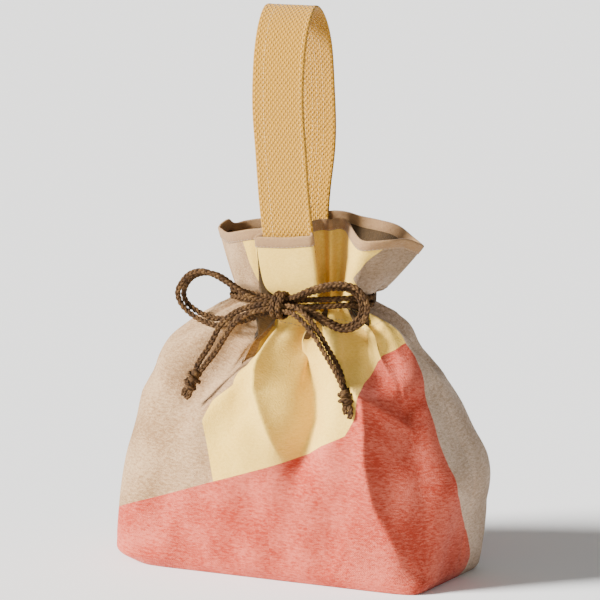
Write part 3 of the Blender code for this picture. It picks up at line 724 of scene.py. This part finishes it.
# Four plain fields of dye on one cloth, each uneven in its own way, meeting in crisp edges.
def printedCotton():
    made, tree, shader = newMaterial("printed cotton", 0.86, 0.12)
    uv = addNode(tree, "UVMap", uv_map="UVMap").outputs["UV"]
    dyes = {name: mottled(tree, uv, pouch[name], *how) for name, how in pouch["mottling"].items()}
    # above the neck the side field is painted darker: painted shade on the frill, whose face turns away from
    # the light
    place = addNode(tree, "TexCoord").outputs["Object"]
    height = addNode(tree, "SeparateXYZ", {"Vector": place}).outputs["Z"]
    above = addNode(tree, "MapRange", {"Value": height, "From Min": 0.196, "From Max": 0.214})
    side = addNode(tree, "Mix", {"Factor": above.outputs["Result"], "A": dyes["side"],
                                 "B": dyes["sideFrillPaintedShade"]}, data_type="RGBA").outputs["Result"]
    colour = dyes["taupe"]
    for field, dye in (("yellowField", dyes["yellow"]), ("coralField", dyes["coral"]), ("sideField", side)):
        # 1 inside the field and 0 outside, from its distance in millimetres on the cloth
        distance = addNode(tree, "Attribute", attribute_name=field).outputs["Fac"]
        inside = addNode(tree, "Math", {0: distance, 1: 2.5, 2: 0.5}, operation="MULTIPLY_ADD",
                         use_clamp=True).outputs["Value"]
        colour = addNode(tree, "Mix", {"Factor": inside, "A": colour, "B": dye},
                         data_type="RGBA").outputs["Result"]
    tree.links.new(colour, shader.inputs["Base Color"])
    cottonSurface(tree, shader, uv, 0.55)
    return made


# Undyed or single-dyed cotton, slightly uneven.
def plainCotton(name, colours, contrast, strength):
    made, tree, shader = newMaterial(name, 0.88, 0.2)
    uv = addNode(tree, "UVMap", uv_map="UVMap").outputs["UV"]
    tree.links.new(mottled(tree, uv, colours, 2.0, 0.8, contrast), shader.inputs["Base Color"])
    cottonSurface(tree, shader, uv, strength)
    return made


# Straight lines between the points of one edge of the print.
def edgeOf(name, height):
    knots = np.array(printEdges[name])
    return np.interp(height, knots[:, 0], knots[:, 1])


# Distances in millimetres into the yellow, coral and side fields, for every point of the wall.
def printFields(grid, shares):
    share = np.broadcast_to(np.where(shares > 0.5, shares - 1.0, shares), grid.shape[:2])
    z = grid[..., 2]
    girth = pouch["girth"] * 1000.0
    yellow = (share - edgeOf("yellowStart", z)) * girth
    first, last = printEdges["backYellow"]
    whole = np.mod(share, 1.0)
    yellow = np.where(np.abs(whole - 0.5) < 0.24, np.minimum(whole - first, last - whole) * girth, yellow)
    knots = np.array(printEdges["coralTop"])
    coral = (np.interp(share, knots[:, 0], knots[:, 1]) - z) * 1000.0
    side = np.minimum(share - edgeOf("sideStart", z), 0.36 - share) * girth
    side = np.where(share < 0.0, -50.0, side)
    return {"yellowField": yellow, "coralField": coral, "sideField": side}


def buildPouch():
    index, shares = clothColumns(pouch["columns"])
    heights = np.linspace(0.0, pouch["neckHeight"], int(pouch["neckHeight"] / pouch["rowHeight"]) + 1)
    wall = foldedWall(shares, index, heights, np.linspace(0.0, 1.0, pouch["frillRows"]))
    normal = outwardOf(wall)

    grid = withBase(wall)
    shape = Shape()
    shape.add(grid, clothUv(grid, shares))
    outer = shape.finish("printed_cloth", printedCotton(), ["outer_cloth"])
    for name, values in printFields(grid, shares).items():
        layer = outer.data.attributes.new(name, "FLOAT", "POINT")
        layer.data.foreach_set("value", values.astype(np.float32).ravel())

    # the lining starts and stops a few rows inside the cloth, and lies just above its base
    inside = withBase((wall - normal * pouch["liningGap"])[3:-2, ::-1])
    inside[:pouch["baseRows"], :, 2] += pouch["liningLift"]
    lining = Shape()
    lining.add(inside, clothUv(inside, shares))
    cotton = plainCotton("lining cotton", pouch["lining"], 0.2, 0.5)
    lining.finish("lining_cloth", cotton, ["lining"])
    print("cloth gathered")
    return wall, normal, shares


hem = {
    "height": 0.0074,
    "row": -4,                # row of the cloth that says which way is out
    "outward": 0.0004,        # how far it stands off the cloth, and off the lining within
    "edge": 0.42,             # round the mouth, for its pattern
    "stitchDrop": 0.0066,
    "casingHeight": 0.180,
    "edgeStitch": (0.0028, 0.0020, 0.00022),      # pitch, length and radius
    "casingStitch": (0.0030, 0.0021, 0.00024),
    "thread": "#A88F70",
}


# Row of points at a drop below the mouth's edge, down each column.
def alongColumns(wall, drop):
    down = np.concatenate([np.zeros((1, wall.shape[1])),
                           np.cumsum(np.linalg.norm(np.diff(wall[::-1], axis=0), axis=2), axis=0)])
    below = wall[::-1]
    k = np.clip((down < drop).sum(axis=0) - 1, 0, len(wall) - 2)
    columns = np.arange(wall.shape[1])
    start, end = down[k, columns], down[k + 1, columns]
    f = ((drop - start) / (end - start))[:, None]
    return below[k, columns] * (1 - f) + below[k + 1, columns] * f


# A folded strip over the edge: up the outside, over the top and down the inside.
def buildHem(wall, normal, shares):
    side = normal[hem["row"]]
    out, inner = hem["outward"], pouch["liningGap"] + hem["outward"]
    top = hem["height"]
    section = [(out * 0.2, top), (out, top - 0.0003), (out * 1.1, 0.004), (out, 0.0012), (out * 0.7, 0.0003),
               (-0.0004, -0.0003), (-inner * 0.6, -0.0003), (-inner * 0.95, 0.0003), (-inner, 0.0014),
               (-inner, 0.004), (-inner, top - 0.0003), (-inner * 0.8, top)]
    rows = np.array([alongColumns(wall, drop) + side * off for off, drop in section])
    uv = np.stack(np.meshgrid(np.concatenate([shares, [1.0]]) * hem["edge"], lengthAlong(section)), axis=-1)
    shape = Shape()
    shape.add(rows, uv)
    shape.finish("mouth_hem", plainCotton("hem cotton", pouch["hem"], 0.22, 0.6), ["rim_binding"])
    print("mouth hemmed")


# Short beads of thread along a line: each is a tube that swells from nothing and back.
def stitches(shape, line, normal, pitch, length, radius):
    along = lengthAlong(line)
    marks = np.arange(pitch / 2, along[-1], pitch)
    middle, out = valuesAt(line, along, marks), unit(valuesAt(normal, along, marks))
    ahead = unit(valuesAt(line, along, marks + length / 2) - valuesAt(line, along, marks - length / 2))
    aside = unit(np.cross(ahead, out))
    angle = np.arange(6) * math.pi / 3
    f = np.linspace(-1.0, 1.0, 5)
    swell = np.sqrt(np.clip(1.02 - f**2, 0.0, 1.0))
    ring = (out[:, None, None] * (np.cos(angle) * 0.75)[None, None, :, None]
            + aside[:, None, None] * np.sin(angle)[None, None, :, None]) * radius
    beads = (middle[:, None, None] + ahead[:, None, None] * (f * length / 2)[None, :, None, None]
             + ring * swell[None, :, None, None])
    uv = np.zeros((5, 7, 2))
    for bead in beads:
        shape.add(bead, uv)


# Rows of stitching: along the hem, and round the casing under the cords.
def buildSeams(wall, normal):
    row = int(hem["casingHeight"] / pouch["rowHeight"])
    side = normal[hem["row"]]
    edge = alongColumns(wall, hem["stitchDrop"]) + side * (hem["outward"] * 1.15)
    casing = wall[row] + normal[row] * 0.0001
    shape = Shape()
    for line, out, sizes in ((edge, side, hem["edgeStitch"]), (casing, normal[row], hem["casingStitch"])):
        stitches(shape, np.concatenate([line, line[:1]]), np.concatenate([out, out[:1]]), *sizes)
    # thread is a little glossier than the cloth that it lies on
    shape.finish("seam_stitches", plainMaterial("sewing thread", hem["thread"], 0.6, 0.2))
    print("seams stitched")


wall, normal, shares = buildPouch()
buildHem(wall, normal, shares)
buildSeams(wall, normal)

# The carrying handle: one length of cotton webbing, both ends sewn inside the mouth
handle = {
    "width": 0.0380,
    "thickness": 0.0022,
    "step": 0.001,            # between two rows of the modelled strap
    "stitchRows": {"outer": (-0.0105, 0.0165),
                   "inner": (-0.0165, -0.0085, -0.0030, 0.0022, 0.0057, 0.0104)},
    "stitch": (0.0031, 0.0016, 0.00028),    # pitch, length and radius
    "light": "#C28F18",
    "dark": "#A26E0D",
    "thread": "#DDB678",
}
# middle line of the webbing, from its front foot over the top to its back foot
handleRoute = [
    (0.0042, -0.0325, 0.208), (0.0041, -0.0354, 0.224), (0.0039, -0.0384, 0.24), (0.003, -0.0405, 0.26),
    (0.0012, -0.0425, 0.288), (-0.0003, -0.0432, 0.315), (-0.001, -0.0426, 0.338),
    (-0.0018, -0.0395, 0.361), (-0.0026, -0.031, 0.38), (-0.0036, -0.018, 0.391), (-0.0044, -0.005, 0.3845),
    (-0.0052, 0.006, 0.366), (-0.006, 0.013, 0.34), (-0.0066, 0.016, 0.312), (-0.0072, 0.0155, 0.288),
    (-0.0076, 0.0115, 0.266), (-0.008, 0.0085, 0.248), (-0.008, 0.008, 0.232), (-0.008, 0.0085, 0.208),
]


# Thick cotton webbing: crossing diagonals of a twill, with the shadow of each thread.
def webbingMaterial():
    made, tree, shader = newMaterial("cotton webbing", 0.82, 0.25)
    uv = addNode(tree, "UVMap", uv_map="UVMap").outputs["UV"]
    waves = []
    for turn in (0.68, -0.68):
        turned = addNode(tree, "Mapping", {"Vector": uv, "Rotation": (0, 0, turn),
                                           "Scale": (1000.0, 1000.0, 1.0)}).outputs["Vector"]
        waves.append(addNode(tree, "TexWave", {"Vector": turned, "Scale": 0.13, "Distortion": 0.4,
                                               "Detail": 1.0}).outputs["Fac"])
    weave = addNode(tree, "Math", {0: waves[0], 1: waves[1]}, operation="MULTIPLY").outputs["Value"]
    grain = addNode(tree, "TexNoise", {"Vector": uv, "Scale": 1300.0, "Detail": 2.0}).outputs["Fac"]
    tone = addNode(tree, "Math", {0: weave, 1: 0.8, 2: grain}, operation="MULTIPLY_ADD").outputs["Value"]
    share = addNode(tree, "MapRange", {"Value": tone, "From Min": 0.40, "From Max": 1.05})
    colour = addNode(tree, "Mix", {"Factor": share.outputs["Result"], "A": toLinear(handle["dark"]),
                                   "B": toLinear(handle["light"])}, data_type="RGBA")
    tree.links.new(colour.outputs["Result"], shader.inputs["Base Color"])
    bump = addNode(tree, "Bump", {"Height": tone, "Strength": 1.0, "Distance": 0.0009})
    tree.links.new(bump.outputs["Normal"], shader.inputs["Normal"])
    return made


# A flat section with round borders carried along the route, its width kept level.
def buildHandle():
    path = smoothLine(handleRoute, handle["step"])
    along = unit(np.gradient(path, axis=0))
    level = np.array([1.0, 0.06, 0.0])
    aside = unit(level - along * (along @ level)[:, None])
    out = np.cross(along, aside)
    half, thick = handle["width"] / 2, handle["thickness"] / 2
    # rounded flat section, thicker at both woven borders
    across = np.linspace(-half + thick, half - thick, 37)
    relief = 0.00018 * np.exp(-((np.abs(across) - half + 0.0022) / 0.0012) ** 2)
    bend = np.linspace(-0.5 * math.pi, 0.5 * math.pi, 7)[1:-1]
    section = np.concatenate([
        np.stack([across, -(thick + relief)], axis=1),
        np.stack([half - thick + thick * np.cos(bend), thick * np.sin(bend)], axis=1),
        np.stack([across[::-1], thick + relief], axis=1),
        np.stack([-half + thick - thick * np.cos(bend), -thick * np.sin(bend)], axis=1)])
    waver = 0.0003 * np.sin(np.arange(len(path)) * 0.09)[:, None, None] * aside[:, None]
    grid = path[:, None] + aside[:, None] * section[None, :, :1] + out[:, None] * section[None, :, 1:] + waver
    girth = lengthAlong(np.concatenate([section, section[:1]]))
    uv = np.stack(np.meshgrid(girth, np.arange(len(path)) * handle["step"]), axis=-1)
    shape = Shape()
    shape.add(grid, uv)
    shape.finish("webbing_strap", webbingMaterial(), ["handle_webbing"])

    rows = Shape()
    for face, sign in (("outer", -1.0), ("inner", 1.0)):
        for place in handle["stitchRows"][face]:
            line = path + aside * place + out * sign * (thick + 0.00002)
            stitches(rows, line, out * sign, *handle["stitch"])
    rows.finish("handle_stitches", plainMaterial("handle thread", handle["thread"], 0.6, 0.2))
    print("handle sewn")


buildHandle()

# Stage: a pale floor in soft studio light
stage = {
    "floor": "#F7F6F4",
    "sky": "#FFFFFF",
    "skyStrength": 0.28,
    "key": {"azimuth": -48.0, "elevation": 25.0, "strength": 15.0, "softness": 18.0},    # degrees
    "fill": {"azimuth": 41.0, "elevation": 14.0, "place": (1.4, -1.6, 0.7), "size": 1.4, "power": 6.2},
}


# A lamp that shines down from an elevation, from an azimuth round from the front.
def addLamp(name, kind, lamp, place, settings):
    data = bpy.data.lights.new(name, kind)
    for key, value in settings.items():
        setattr(data, key, value)
    made = addObject(name, data)
    made.location = place
    made.rotation_euler = (math.radians(90.0 - lamp["elevation"]), 0.0, math.radians(lamp["azimuth"]))


def buildStage():
    mesh = bpy.data.meshes.new("floor")
    mesh.from_pydata([(-12, -12, 0), (12, -12, 0), (12, 12, 0), (-12, 12, 0)], [], [(0, 1, 2, 3)])
    mesh.materials.append(plainMaterial("studio floor", stage["floor"], 0.9))
    floor = addObject("floor", mesh)
    world = bpy.data.worlds.new("studio")
    world.use_nodes = True
    background = world.node_tree.nodes["Background"]
    background.inputs["Color"].default_value = toLinear(stage["sky"])
    background.inputs["Strength"].default_value = stage["skyStrength"]
    bpy.context.scene.world = world
    key, fill = stage["key"], stage["fill"]
    addLamp("key light", "SUN", key, (0, 0, 2),
            {"energy": key["strength"], "angle": math.radians(key["softness"])})
    addLamp("fill light", "AREA", fill, fill["place"], {"energy": fill["power"], "size": fill["size"]})
    print("stage lit")


buildStage()
